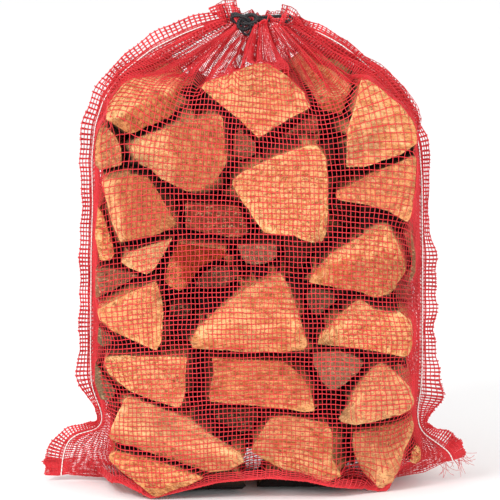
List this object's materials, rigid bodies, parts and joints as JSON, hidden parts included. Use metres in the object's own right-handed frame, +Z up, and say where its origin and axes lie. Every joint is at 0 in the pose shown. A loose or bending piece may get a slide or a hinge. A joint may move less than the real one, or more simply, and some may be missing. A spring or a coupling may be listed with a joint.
{
  "type": "firewood bundle",
  "caption": "Split firewood packed in an upright red net bag, gathered at the neck by a black drawstring; it stands on its flat base.",
  "frame": {"origin": "middle of the box around the whole bag, at its base, on the surface it stands on", "axes": "+Z up; +X across the bag's width; the bag's broad front faces -Y"},
  "size_m": [0.518, 0.2522, 0.601],
  "materials": {
    "split_wood": "matte",
    "net_mesh": "satin",
    "seam_thread": "matte",
    "drawstring_cord": "satin"
  },
  "bodies": {
    "root": {"drawstring": "drawstring_cord", "drawstring_knot": "drawstring_cord", "log_across_lower": "split_wood", "log_across_upper": "split_wood", "log_back_left_high": "split_wood", "log_back_left_low": "split_wood", "log_back_middle_low": "split_wood", "log_bottom_centre": "split_wood", "log_bottom_right": "split_wood", "log_centre": "split_wood", "log_centre_triangle": "split_wood", "log_dark_rectangle": "split_wood", "log_dark_upper_centre": "split_wood", "log_deep_bottom": "split_wood", "log_deep_centre": "split_wood", "log_deep_centre_left": "split_wood", "log_deep_left": "split_wood", "log_deep_lower_centre": "split_wood", "log_deep_lower_left": "split_wood", "log_deep_right": "split_wood", "log_deep_right_edge": "split_wood", "log_deep_upper_left": "split_wood", "log_deep_upper_right": "split_wood", "log_grey_recessed": "split_wood", "log_grey_right": "split_wood", "log_left_dark": "split_wood", "log_left_edge": "split_wood", "log_left_gap": "split_wood", "log_left_shoulder": "split_wood", "log_left_sliver": "split_wood", "log_left_splinter": "split_wood", "log_left_square": "split_wood", "log_left_triangle": "split_wood", "log_low_centre": "split_wood", "log_low_strip": "split_wood", "log_lower_left": "split_wood", "log_lower_left_dark": "split_wood", "log_lower_right": "split_wood", "log_right_corner": "split_wood", "log_right_dark": "split_wood", "log_right_gap": "split_wood", "log_right_light": "split_wood", "log_right_long": "split_wood", "log_right_wedge": "split_wood", "log_small_recessed": "split_wood", "log_tipped": "split_wood", "log_top_centre": "split_wood", "log_top_left": "split_wood", "log_top_right_back": "split_wood", "log_under_top": "split_wood", "log_upper_left": "split_wood", "log_upper_right": "split_wood", "net_back": "net_mesh", "net_front": "net_mesh", "seam_thread_left": "seam_thread", "seam_thread_right": "seam_thread"}
  },
  "joints": []
}
